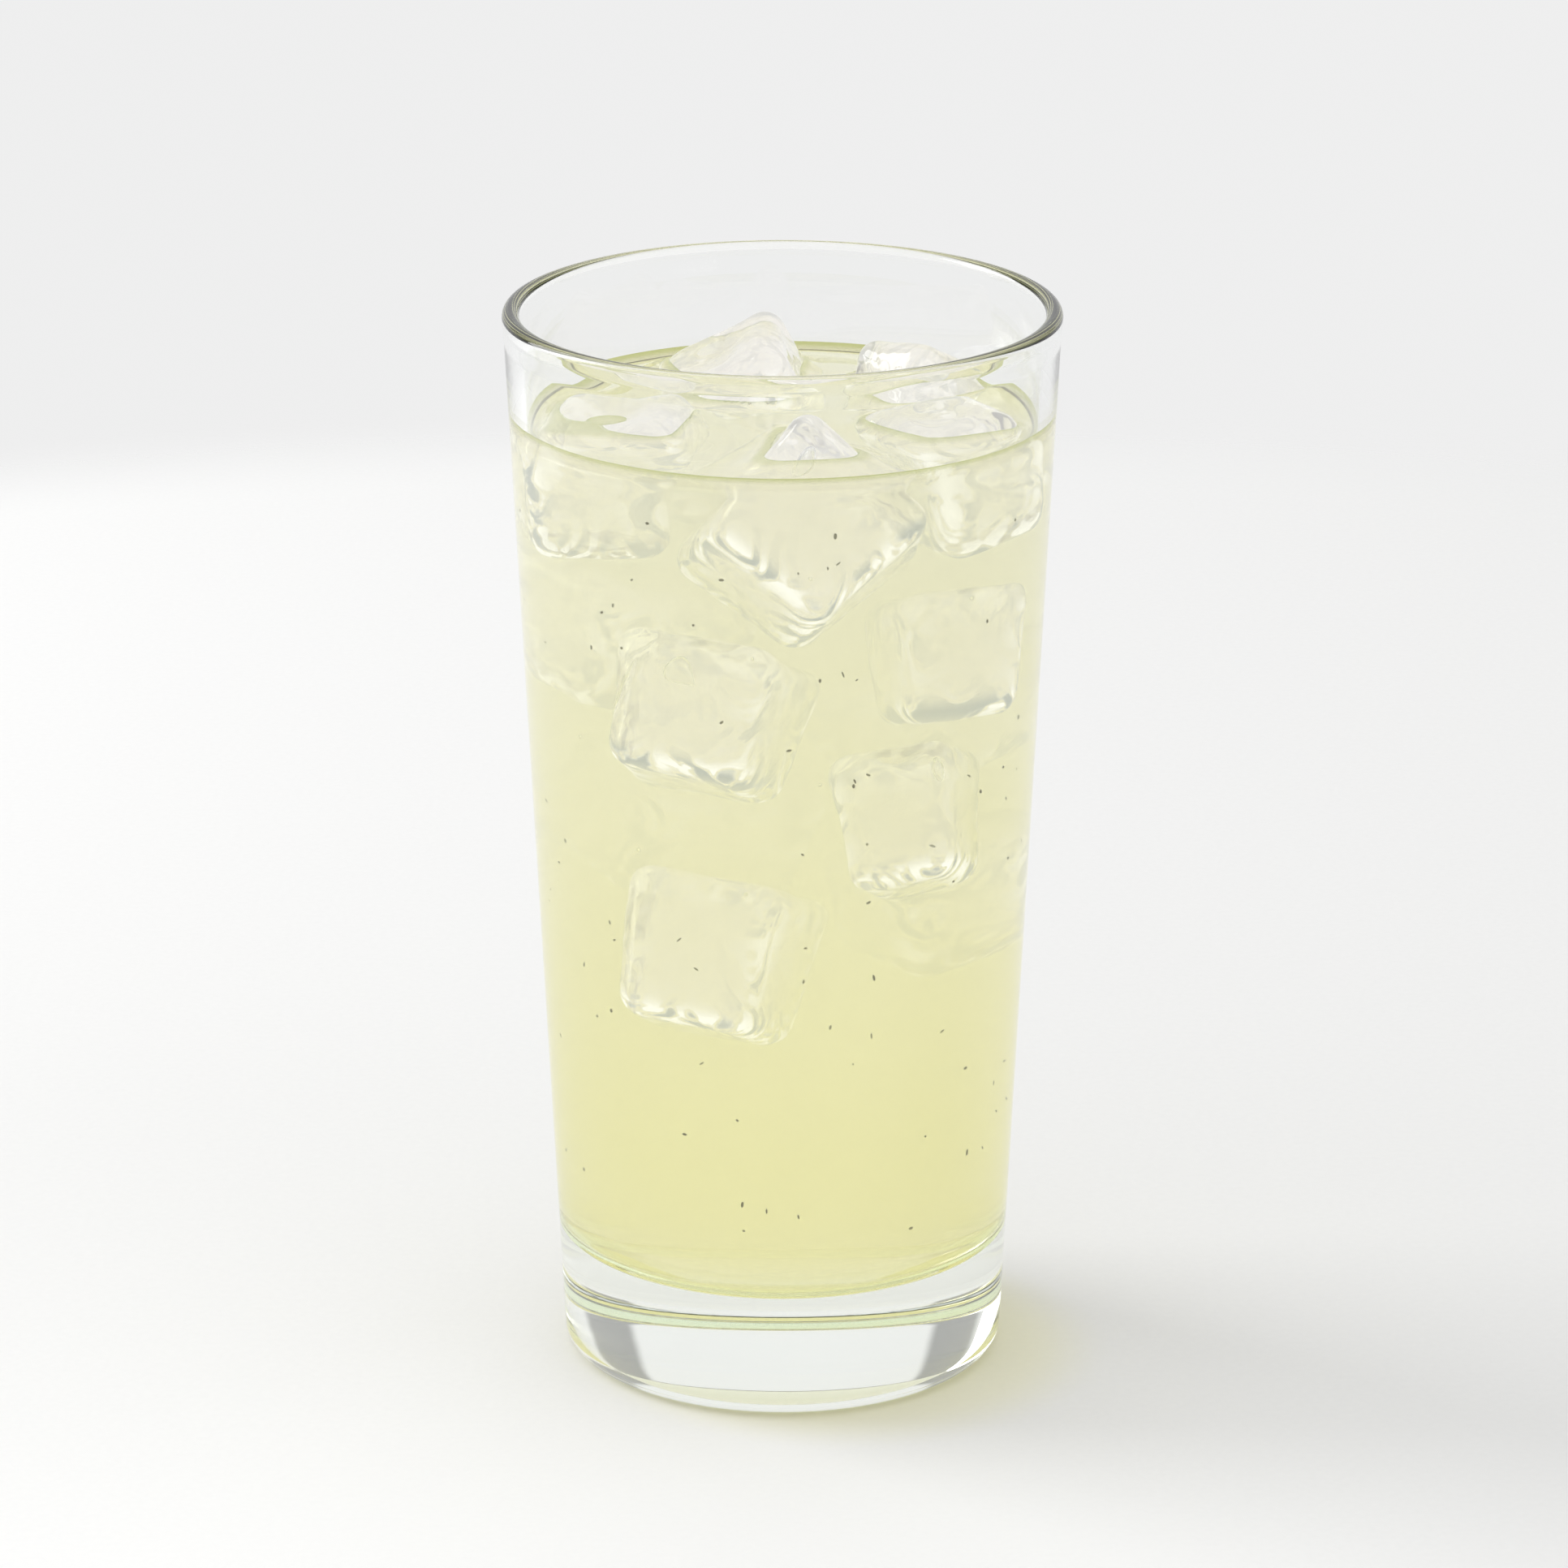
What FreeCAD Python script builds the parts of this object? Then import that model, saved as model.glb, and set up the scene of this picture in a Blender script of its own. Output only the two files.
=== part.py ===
"""Glass of lemonade: a tall tumbler, the drink in it and the ice that breaks its surface.

Millimetres, +Z up, origin at the centre of the ring that the glass stands on.
"""
import FreeCAD, Part
import Sketcher
import math
import os

DOC_NAME = "glass_of_lemonade"
OUT_FOLDER = "parts"

# Driving dimensions of the tumbler, of the drink and of the shape that all the ice shares.
TUMBLER = {
    "glass_height": 150.3,
    "rim_radius": 38.0,
    "base_radius": 30.65,
    "lip_wall": 2.3,
    "bead_proud": 0.25,
    "bead_drop": 4.5,
    "foot_wall": 3.0,
    "floor_height": 16.4,
    "floor_corner": 6.0,
    "heel_radius": 3.0,
    "ring_inset": 7.0,
    "punt_rise": 1.3,
}
DRINK = {
    "headspace": 15.6,
    "meniscus_rise": 1.5,
    "meniscus_reach": 3.4,
}
ICE_SHAPE = {
    "ice_draft": 2.5,
    "ice_rounding": 3.4,
    "dimple_radius": 11.0,
    "dimple_depth": 0.9,
    "first_bearing": -82.72,
}

# Each floating cube, going round the glass from the first one's bearing: side and height of the
# block, room from its turned box to the wall and to the cube before it (less than nothing where
# rounded corners pass each other), height of its centre over the level, then its turns, with
# the yaw measured from its own bearing.
ICE_FIELDS = ("side", "height", "wall_gap", "neighbour_gap", "rise", "yaw", "tilt", "roll")
FLOATING_ICE = {
    "ice_front": (22.0, 22.0, -1.06, 0.0, -10.1, 96.7, -28.0, 47.0),
    "ice_right": (18.0, 17.0, -0.19, -6.91, -5.9, 47.0, 3.0, -8.0),
    "ice_back_right": (16.0, 16.0, -0.2, -2.32, -2.9, -1.0, -8.0, 28.0),
    "ice_back": (19.5, 17.5, 1.24, -0.19, -3.7, -102.0, 9.0, -30.0),
    "ice_left": (20.0, 18.0, -0.37, 0.91, -6.5, 164.5, 7.0, -8.0),
}

# Lines of the tumbler's section, as formulas on the sheet. The outer wall is one straight
# line from the base to the bead, and the bore is another from the floor to the lip.
WALL_TOP = "(sheet.rim_radius - sheet.bead_proud)"
BEAD_FOOT = "(sheet.glass_height - sheet.bead_drop)"
BEAD_HEAD = "(sheet.glass_height - sheet.bead_drop / 2)"
WALL_LEAN = f"(({WALL_TOP} - sheet.base_radius) / {BEAD_FOOT})"
BORE_TOP = "(sheet.rim_radius - sheet.lip_wall)"
BORE_FOOT = f"(sheet.base_radius + {WALL_LEAN} * sheet.floor_height - sheet.foot_wall)"
BORE_LEAN = f"(({BORE_TOP} - {BORE_FOOT}) / (sheet.glass_height - sheet.floor_height))"
RING_RADIUS = "(sheet.base_radius - sheet.ring_inset)"
LIP_ROUNDING = "(sheet.lip_wall * 0.49)"
LEVEL = "(sheet.glass_height - sheet.headspace)"
CONTACT = f"({LEVEL} + sheet.meniscus_rise)"

ON_AXIS = "0"
VERTICAL_AXIS = -2
HORIZONTAL_AXIS = -1
START, END, CENTRE = 1, 2, 3
NEAR = 1e-3


def bore_radius(height):
    """Formula for the inner radius of the tumbler at a height that is a formula too."""
    return f"({BORE_FOOT} + {BORE_LEAN} * ({height} - sheet.floor_height))"


def make_sheet(doc):
    """The spreadsheet of driving dimensions, one alias to a row."""
    sheet = doc.addObject("Spreadsheet::Sheet", "sheet")
    sizes = {**TUMBLER, **DRINK, **ICE_SHAPE}
    for name, values in FLOATING_ICE.items():
        for field, value in zip(ICE_FIELDS, values):
            sizes[f"{name}_{field}"] = value
    for row, (alias, value) in enumerate(sizes.items(), start=1):
        sheet.set(f"A{row}", alias)
        sheet.set(f"B{row}", str(value))
        sheet.setAlias(f"B{row}", alias)
    doc.recompute()
    return sheet


def value_of(sheet, formula):
    """The number that a formula on the sheet comes to."""
    return float(sheet.evalExpression(formula.replace("sheet.", "")))


def new_sketch(body, name, role):
    """An empty sketch on one of the body's own origin planes."""
    plane = next(item for item in body.Origin.OriginFeatures if item.Role == role)
    sketch = body.newObject("Sketcher::SketchObject", name)
    sketch.AttachmentSupport = [(plane, "")]
    sketch.MapMode = "FlatFace"
    return sketch


def pin(sketch, sheet, geometry, end, place):
    """Tie a point of the sketch to formulas across and up, to an axis for zero."""
    across = ("DistanceX", VERTICAL_AXIS)
    upward = ("DistanceY", HORIZONTAL_AXIS)
    for formula, (kind, axis) in zip(place, (across, upward)):
        if formula == ON_AXIS:
            sketch.addConstraint(Sketcher.Constraint("PointOnObject", geometry, end, axis))
            continue
        size = value_of(sheet, formula)
        rule = Sketcher.Constraint(kind, HORIZONTAL_AXIS, START, geometry, end, size)
        sketch.setExpression(f"Constraints[{sketch.addConstraint(rule)}]", formula)


def point_at(sheet, place):
    """The sketch point that a pair of formulas comes to."""
    across, upward = (value_of(sheet, formula) for formula in place)
    return FreeCAD.Vector(across, upward, 0)


def arc_about(centre, start, finish):
    """The shorter arc about a centre, and whether it had to run from finish to start."""
    circle = Part.Circle(centre, FreeCAD.Vector(0, 0, 1), start.distanceToPoint(centre))
    first, last = (math.atan2(p.y - centre.y, p.x - centre.x) for p in (start, finish))
    turn = (last - first) % (2 * math.pi)
    if turn <= math.pi:
        return Part.ArcOfCircle(circle, first, first + turn), False
    return Part.ArcOfCircle(circle, last, last + 2 * math.pi - turn), True


def closed_sketch(body, sheet, name, role, corners, arcs=None):
    """A closed sketch through corners, each a pair of formulas.

    arcs gives the centre of each side that is round: its number to a pair of formulas, the
    first of which is kept. The other sides are straight.
    """
    arcs = arcs or {}
    sketch = new_sketch(body, name, role)
    points = [point_at(sheet, corner) for corner in corners]
    ends = []
    for side, start in enumerate(points):
        finish = points[(side + 1) % len(points)]
        curve, turned = Part.LineSegment(start, finish), False
        if side in arcs:
            curve, turned = arc_about(point_at(sheet, arcs[side]), start, finish)
        sketch.addGeometry(curve, False)
        ends.append((END, START) if turned else (START, END))
    for side, (first, last) in enumerate(ends):
        following = (side + 1) % len(ends)
        next_first = ends[following][0]
        sketch.addConstraint(
            Sketcher.Constraint("Coincident", side, last, following, next_first))
        pin(sketch, sheet, side, first, corners[side])
        if side in arcs:
            pin(sketch, sheet, side, CENTRE, arcs[side][:1])
    return sketch


def revolve(body, sketch, name):
    """A full turn of a section about the vertical axis."""
    feature = body.newObject("PartDesign::Revolution", name)
    feature.Profile = sketch
    feature.ReferenceAxis = (sketch, ["V_Axis"])
    feature.Angle = 360.0
    body.Document.recompute()
    return feature


def round_rings(body, sheet, base, name, places, radius):
    """Fillet the circular edges of a turned solid that pass through the given places."""
    wanted = [point_at(sheet, place) for place in places]
    edges = []
    for number, edge in enumerate(base.Shape.Edges, start=1):
        if edge.Degenerated or not isinstance(edge.Curve, Part.Circle):
            continue
        ring = FreeCAD.Vector(edge.Curve.Radius, edge.Curve.Center.z, 0)
        if any(ring.distanceToPoint(place) < NEAR for place in wanted):
            edges.append(f"Edge{number}")
    fillet = body.newObject("PartDesign::Fillet", name)
    fillet.Base = (base, edges)
    fillet.setExpression("Radius", radius)
    body.Document.recompute()
    return fillet


def make_glass(doc, sheet):
    """The tumbler: straight leaning wall, rounded lip with a slight bead, thick base."""
    body = doc.addObject("PartDesign::Body", "glass")
    heel = ("sheet.base_radius", ON_AXIS)
    lip_outside = ("sheet.rim_radius", "sheet.glass_height")
    lip_inside = (BORE_TOP, "sheet.glass_height")
    floor_edge = (BORE_FOOT, "sheet.floor_height")
    corners = [
        (ON_AXIS, "sheet.punt_rise"),
        (RING_RADIUS, ON_AXIS),
        heel,
        (WALL_TOP, BEAD_FOOT),
        ("sheet.rim_radius", BEAD_HEAD),
        lip_outside,
        lip_inside,
        floor_edge,
        (ON_AXIS, "sheet.floor_height"),
    ]
    dome_centre = f"(sheet.punt_rise / 2 - {RING_RADIUS} ^ 2 / (2 * sheet.punt_rise))"
    arcs = {0: (ON_AXIS, dome_centre)}
    sketch = closed_sketch(body, sheet, "glass_section", "XZ_Plane", corners, arcs)
    turned = revolve(body, sketch, "glass_turned")
    lip = round_rings(body, sheet, turned, "lip", [lip_outside, lip_inside], LIP_ROUNDING)
    foot = round_rings(body, sheet, lip, "heel", [heel], "sheet.heel_radius")
    round_rings(body, sheet, foot, "floor_corner", [floor_edge], "sheet.floor_corner")
    return body


def make_drink(doc, sheet):
    """The drink before the ice is cut from it: fills the bore and climbs its wall a little."""
    body = doc.addObject("PartDesign::Body", "drink_whole")
    floor_edge = (BORE_FOOT, "sheet.floor_height")
    wall_contact = bore_radius(CONTACT)
    level_edge = f"({wall_contact} - sheet.meniscus_reach)"
    curl = "((sheet.meniscus_reach ^ 2 + sheet.meniscus_rise ^ 2) / (2 * sheet.meniscus_rise))"
    corners = [
        (ON_AXIS, "sheet.floor_height"),
        floor_edge,
        (wall_contact, CONTACT),
        (level_edge, LEVEL),
        (ON_AXIS, LEVEL),
    ]
    arcs = {2: (level_edge, f"({LEVEL} + {curl})")}
    sketch = closed_sketch(body, sheet, "drink_section", "XZ_Plane", corners, arcs)
    turned = revolve(body, sketch, "drink_turned")
    round_rings(body, sheet, turned, "drink_corner", [floor_edge], "sheet.floor_corner")
    return body


def ice_turn(values):
    """A cube's rotation as seen along its own bearing: yaw, then tilt, then roll."""
    turns = ((0, 0, 1, "yaw"), (1, 0, 0, "tilt"), (0, 1, 0, "roll"))
    rotation = FreeCAD.Rotation()
    for x, y, z, field in turns:
        rotation = rotation * FreeCAD.Rotation(FreeCAD.Vector(x, y, z), values[field])
    return rotation


def half_width(values, direction):
    """How far the turned box of a cube reaches from its centre along a direction."""
    side, height = values["side"] / 2, values["height"] / 2
    edges = [FreeCAD.Vector(side, 0, 0), FreeCAD.Vector(0, side, 0), FreeCAD.Vector(0, 0, height)]
    turn = ice_turn(values)
    return sum(abs(turn.multVec(edge).dot(direction)) for edge in edges)


def ice_placements(sheet):
    """Where the cubes float: each in from the wall at the level, and on from its neighbour."""
    outwards, along = FreeCAD.Vector(1, 0, 0), FreeCAD.Vector(0, 1, 0)
    bore = value_of(sheet, bore_radius(LEVEL))
    bearing = math.radians(value_of(sheet, "sheet.first_bearing"))
    placements, before = {}, None
    for name in FLOATING_ICE:
        values = {field: value_of(sheet, f"sheet.{name}_{field}") for field in ICE_FIELDS}
        reach = bore - values["wall_gap"] - half_width(values, outwards)
        width = half_width(values, along)
        if before:
            apart = before[1] + values["neighbour_gap"] + width
            cosine = (before[0] ** 2 + reach ** 2 - apart ** 2) / (2 * before[0] * reach)
            bearing += math.acos(cosine)
        before = (reach, width)
        centre = FreeCAD.Vector(reach * math.cos(bearing), reach * math.sin(bearing),
                                value_of(sheet, LEVEL) + values["rise"])
        facing = FreeCAD.Rotation(FreeCAD.Vector(0, 0, 1), math.degrees(bearing))
        placements[name] = FreeCAD.Placement(centre, facing * ice_turn(values))
    return placements


def make_ice(doc, sheet, name, placement):
    """One cube: a drafted block from a tray, melted round at its edges, dished on top."""
    body = doc.addObject("PartDesign::Body", name)
    half, height = f"(sheet.{name}_side / 2)", f"sheet.{name}_height"
    corners = [(f"-{half}", f"-{half}"), (half, f"-{half}"), (half, half), (f"-{half}", half)]
    sketch = closed_sketch(body, sheet, f"{name}_open_side", "XY_Plane", corners)
    sketch.setExpression("AttachmentOffset.Base.z", f"{height} / 2")
    block = body.newObject("PartDesign::Pad", f"{name}_block")
    block.Profile = sketch
    block.Reversed = True
    block.setExpression("Length", height)
    block.setExpression("TaperAngle", "-sheet.ice_draft")
    doc.recompute()
    melted = body.newObject("PartDesign::Fillet", f"{name}_melted")
    melted.Base = (block, [])
    melted.UseAllEdges = True
    melted.setExpression("Radius", "sheet.ice_rounding")
    doc.recompute()
    dish = body.newObject("PartDesign::SubtractiveSphere", f"{name}_dish")
    plane = next(item for item in body.Origin.OriginFeatures if item.Role == "XY_Plane")
    dish.AttachmentSupport = [(plane, "")]
    dish.MapMode = "FlatFace"
    dish.setExpression("Radius", "sheet.dimple_radius")
    dish.setExpression("AttachmentOffset.Base.z",
                       f"{height} / 2 + sheet.dimple_radius - sheet.dimple_depth")
    doc.recompute()
    body.Placement = placement
    return body


def cut_drink(doc, drink, cubes):
    """The drink round the floating ice, which it meets face to face."""
    gathered = doc.addObject("Part::Compound", "floating_ice")
    gathered.Links = cubes
    lemonade = doc.addObject("Part::Cut", "lemonade")
    lemonade.Base = drink
    lemonade.Tool = gathered
    doc.recompute()
    return lemonade


def check_document(doc, pieces):
    """Stop unless every object computed and every piece is one valid solid."""
    for item in doc.Objects:
        if {"Invalid", "Error"} & set(item.State):
            raise RuntimeError(f"{item.Name} failed: {item.State}")
    for piece in pieces:
        shape = piece.Shape
        if shape.isNull() or not shape.isValid() or len(shape.Solids) != 1:
            raise RuntimeError(f"{piece.Label} is not one valid solid")
        print(f"{piece.Label}: {shape.Volume / 1000:.2f} cm3, top {shape.BoundBox.ZMax:.2f}")


def main():
    """Build the document, check it and write one file for each piece."""
    doc = FreeCAD.newDocument(DOC_NAME)
    sheet = make_sheet(doc)
    glass = make_glass(doc, sheet)
    drink = make_drink(doc, sheet)
    places = ice_placements(sheet)
    cubes = [make_ice(doc, sheet, name, place) for name, place in places.items()]
    lemonade = cut_drink(doc, drink, cubes)
    pieces = [glass, lemonade, *cubes]
    check_document(doc, pieces)
    os.makedirs(OUT_FOLDER, exist_ok=True)
    for piece in pieces:
        piece.Shape.exportStep(os.path.join(OUT_FOLDER, f"{piece.Label}.step"))


main()
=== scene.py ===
"""A tall glass of cloudy lemonade with ice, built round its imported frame."""

import logging
import math
from dataclasses import dataclass, field
from enum import Enum
from typing import Sequence

import bmesh
import bpy
from mathutils import Matrix, Vector, noise
from mathutils.bvhtree import BVHTree

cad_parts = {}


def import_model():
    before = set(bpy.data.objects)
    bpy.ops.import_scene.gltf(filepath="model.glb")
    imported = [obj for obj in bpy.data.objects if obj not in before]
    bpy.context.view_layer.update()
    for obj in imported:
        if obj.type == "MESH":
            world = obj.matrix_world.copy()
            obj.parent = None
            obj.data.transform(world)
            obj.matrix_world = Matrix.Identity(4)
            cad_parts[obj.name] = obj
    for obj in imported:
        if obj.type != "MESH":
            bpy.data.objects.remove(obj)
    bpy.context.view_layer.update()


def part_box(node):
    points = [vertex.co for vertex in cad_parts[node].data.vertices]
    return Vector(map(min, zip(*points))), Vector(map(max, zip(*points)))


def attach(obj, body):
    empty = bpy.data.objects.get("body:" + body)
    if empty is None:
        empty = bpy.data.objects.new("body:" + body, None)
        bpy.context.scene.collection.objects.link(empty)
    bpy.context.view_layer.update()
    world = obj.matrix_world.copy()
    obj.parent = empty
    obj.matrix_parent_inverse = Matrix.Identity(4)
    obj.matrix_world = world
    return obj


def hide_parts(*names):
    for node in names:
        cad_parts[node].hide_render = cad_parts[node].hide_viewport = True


LOG = logging.getLogger("lemonade")
RIDGE = "ridge"
MM = 0.001
ROOT = "root"
DOUBLES = 1e-7
MIX_COLOUR_INPUTS = (0, 6, 7)
MIX_COLOUR_OUTPUT = 2

Point2 = tuple[float, float]
Colour = tuple[float, float, float, float]


class Slot(Enum):
    """The record's material slots."""

    GLASS = "glass"
    LEMONADE = "lemonade"
    ICE = "ice"


# ---------------------------------------------------------------------------------------
# Node helpers
# ---------------------------------------------------------------------------------------


class Wiring:
    """A node tree with short calls to add nodes, set their sockets and join them."""

    def __init__(self, tree: bpy.types.NodeTree) -> None:
        """Keep the tree that is wired.

        Args:
            tree: The node tree to add to.
        """
        self.tree = tree

    def add(self, kind: str, settings: dict | None = None, **sockets: object) -> bpy.types.Node:
        """Add a node.

        Args:
            kind: Blender's name for the node type.
            settings: Properties to set on the node, such as its operation.
            sockets: Input names, with _ for a space, and their values or source sockets.

        Returns:
            The new node.
        """
        node = self.tree.nodes.new(kind)
        for name, value in (settings or {}).items():
            setattr(node, name, value)
        for name, value in sockets.items():
            self.feed(node.inputs[name.replace("_", " ")], value)
        return node

    def feed(self, socket: bpy.types.NodeSocket, value: object) -> None:
        """Link a socket to a source, or set its own value.

        Args:
            socket: The input to feed.
            value: Another node's output, or a plain value.
        """
        if isinstance(value, bpy.types.NodeSocket):
            self.tree.links.new(value, socket)
        else:
            socket.default_value = value

    def math(self, operation: str, *values: object) -> bpy.types.NodeSocket:
        """Add a Math node.

        Args:
            operation: The operation's name.
            values: Its inputs in order.

        Returns:
            The result's socket.
        """
        node = self.tree.nodes.new("ShaderNodeMath")
        node.operation = operation
        for socket, value in zip(node.inputs, values):
            self.feed(socket, value)
        return node.outputs[0]

    def span(self, value: object, start: object, end: object, low: object = 0.0, high: object = 1.0,
             curve: str = "SMOOTHSTEP") -> bpy.types.NodeSocket:
        """Turn one range of values into another, held at its ends.

        Args:
            value: The value's socket.
            start: The value that gives low.
            end: The value that gives high.
            low: The result up to start.
            high: The result past end.
            curve: "SMOOTHSTEP" or "LINEAR".

        Returns:
            The result's socket.
        """
        node = self.add("ShaderNodeMapRange", {"interpolation_type": curve}, Value=value,
                        From_Min=start, From_Max=end, To_Min=low, To_Max=high)
        return node.outputs["Result"]

    def blend(self, share: object, first: object, second: object, way: str = "MIX") -> bpy.types.NodeSocket:
        """Mix two colours.

        Args:
            share: How much of the second is taken.
            first: The first colour or its socket.
            second: The second colour or its socket.
            way: Blender's name for the way of mixing.

        Returns:
            The colour's socket.
        """
        node = self.add("ShaderNodeMix", {"data_type": "RGBA", "blend_type": way})
        for index, value in zip(MIX_COLOUR_INPUTS, (share, first, second)):
            self.feed(node.inputs[index], value)
        return node.outputs[MIX_COLOUR_OUTPUT]

    def mixed(self, share: object, first: object, second: object) -> bpy.types.NodeSocket:
        """Mix two shaders.

        Args:
            share: How much of the second is taken.
            first: The first shader's socket.
            second: The second shader's socket.

        Returns:
            The shader's socket.
        """
        node = self.add("ShaderNodeMixShader", Fac=share)
        self.feed(node.inputs[1], first)
        self.feed(node.inputs[2], second)
        return node.outputs[0]

    def added(self, first: object, second: object) -> bpy.types.NodeSocket:
        """Add two shaders.

        Args:
            first: The first shader's socket.
            second: The second shader's socket.

        Returns:
            The shader's socket.
        """
        node = self.add("ShaderNodeAddShader")
        self.feed(node.inputs[0], first)
        self.feed(node.inputs[1], second)
        return node.outputs[0]


def new_group(name: str, kind: str, inputs: Sequence[tuple], outputs: Sequence[tuple]) -> Wiring:
    """Start a node group with named sockets and its group input and output nodes.

    Args:
        name: The group's name.
        kind: "ShaderNodeTree" or "GeometryNodeTree".
        inputs: (name, socket type, default or None) for each input.
        outputs: (name, socket type) for each output.

    Returns:
        The wiring of the group, with .source and .sink for its two end nodes.
    """
    tree = bpy.data.node_groups.new(name, kind)
    for label, socket_type, default in inputs:
        socket = tree.interface.new_socket(label, in_out="INPUT", socket_type=socket_type)
        if default is not None:
            socket.default_value = default
    for label, socket_type in outputs:
        tree.interface.new_socket(label, in_out="OUTPUT", socket_type=socket_type)
    wiring = Wiring(tree)
    wiring.source = tree.nodes.new("NodeGroupInput")
    wiring.sink = tree.nodes.new("NodeGroupOutput")
    return wiring


def ripple_group() -> bpy.types.NodeTree:
    """The faint unevenness of poured, blown and melted surfaces, shared by the finishes.

    Returns:
        A shader group from wave size and height, in object units, to a normal.
    """
    name = "surface_ripple"
    if name in bpy.data.node_groups:
        return bpy.data.node_groups[name]
    inputs = [
        ("Waves per metre", "NodeSocketFloat", 60.0),
        ("Height", "NodeSocketFloat", 0.0002),
        ("Stretch", "NodeSocketVector", (1.0, 1.0, 1.0)),
    ]
    wiring = new_group(name, "ShaderNodeTree", inputs, [("Normal", "NodeSocketVector")])
    place = wiring.add("ShaderNodeTexCoord").outputs["Object"]
    stretched = wiring.add("ShaderNodeVectorMath", {"operation": "MULTIPLY"})
    wiring.feed(stretched.inputs[0], place)
    wiring.feed(stretched.inputs[1], wiring.source.outputs["Stretch"])
    waves = wiring.add(
        "ShaderNodeTexNoise",
        Vector=stretched.outputs[0],
        Scale=wiring.source.outputs["Waves per metre"],
        Detail=2.0,
    )
    bump = wiring.add(
        "ShaderNodeBump",
        Distance=wiring.source.outputs["Height"],
        Height=waves.outputs["Fac"],
    )
    wiring.feed(wiring.sink.inputs["Normal"], bump.outputs["Normal"])
    return wiring.tree


def new_material(name: str) -> tuple[bpy.types.Material, Wiring, bpy.types.Node]:
    """An empty node material.

    Args:
        name: The material's name.

    Returns:
        The material, its wiring and its output node.
    """
    material = bpy.data.materials.new(name)
    material.use_nodes = True
    material.node_tree.nodes.clear()
    wiring = Wiring(material.node_tree)
    return material, wiring, wiring.add("ShaderNodeOutputMaterial")


def ripple(wiring: Wiring, waves: float, height: float,
           stretch: Sequence[float] = (1, 1, 1)) -> bpy.types.NodeSocket:
    """Place the shared ripple in a material.

    Args:
        wiring: The material's wiring.
        waves: Waves per metre.
        height: Wave height in metres.
        stretch: Factors on the three axes.

    Returns:
        The normal's socket.
    """
    node = wiring.add("ShaderNodeGroup", {"node_tree": ripple_group()})
    wiring.feed(node.inputs["Waves per metre"], waves)
    wiring.feed(node.inputs["Height"], height)
    wiring.feed(node.inputs["Stretch"], stretch)
    return node.outputs["Normal"]


def clear_shader(wiring: Wiring, tint: Colour, index: float,
                 normal: bpy.types.NodeSocket) -> bpy.types.NodeSocket:
    """The surface of a clear, wet or polished body.

    Args:
        wiring: The material's wiring.
        tint: The colour of what passes through the surface.
        index: The refractive index.
        normal: The surface's unevenness.

    Returns:
        The shader's socket.
    """
    shader = wiring.add("ShaderNodeBsdfPrincipled", Base_Color=tint, Roughness=0.0, IOR=index,
                        Transmission_Weight=1.0, Normal=normal)
    return shader.outputs[0]


def glowing_fog(wiring: Wiring, colour: object, density: object,
          also: bpy.types.NodeSocket | None = None) -> bpy.types.NodeSocket:
    """An even fog that hides what is behind it and gives off a painted glow of one colour where it is deep.

    Args:
        wiring: The material's wiring.
        colour: The colour, or its socket, of the painted glow where nothing shows through the fog.
        density: How fast it hides what is behind, and how fast its painted glow builds, per metre.
        also: Another volume shader to add.

    Returns:
        The volume shader's socket.
    """
    veil = wiring.add("ShaderNodeVolumeAbsorption", Color=(0, 0, 0, 1), Density=density)
    # Painted light: the fog glows by emission, not by light from the lamps.
    light = wiring.add("ShaderNodeEmission", Color=colour, Strength=density)
    both = wiring.added(veil.outputs[0], light.outputs[0])
    return both if also is None else wiring.added(both, also)


def scaled(colour: Colour, factor: float) -> Colour:
    """An opaque colour with its three parts multiplied by a factor."""
    return tuple(part * factor for part in colour[:3]) + (1.0,)


# ---------------------------------------------------------------------------------------
# Finishes
# ---------------------------------------------------------------------------------------


@dataclass(frozen=True)
class ClearGlass:
    """Polished soda-lime glass with the faintest green of iron in its body."""

    index: float = 1.51
    tint: Colour = (0.99, 0.995, 0.99, 1.0)
    body_green: Colour = (0.72, 0.86, 0.66, 1.0)
    body_density: float = 2.0
    waves: float = 22.0
    wave_height: float = 0.00012
    wave_stretch: tuple[float, float, float] = (1.0, 1.0, 0.35)

    def build(self) -> bpy.types.Material:
        """Make the material.

        Returns:
            The material.
        """
        material, wiring, output = new_material("clear_glass")
        normal = ripple(wiring, self.waves, self.wave_height, self.wave_stretch)
        body = wiring.add("ShaderNodeVolumeAbsorption", Color=self.body_green, Density=self.body_density)
        wiring.feed(output.inputs["Surface"], clear_shader(wiring, self.tint, self.index, normal))
        wiring.feed(output.inputs["Volume"], body.outputs[0])
        return material


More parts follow.
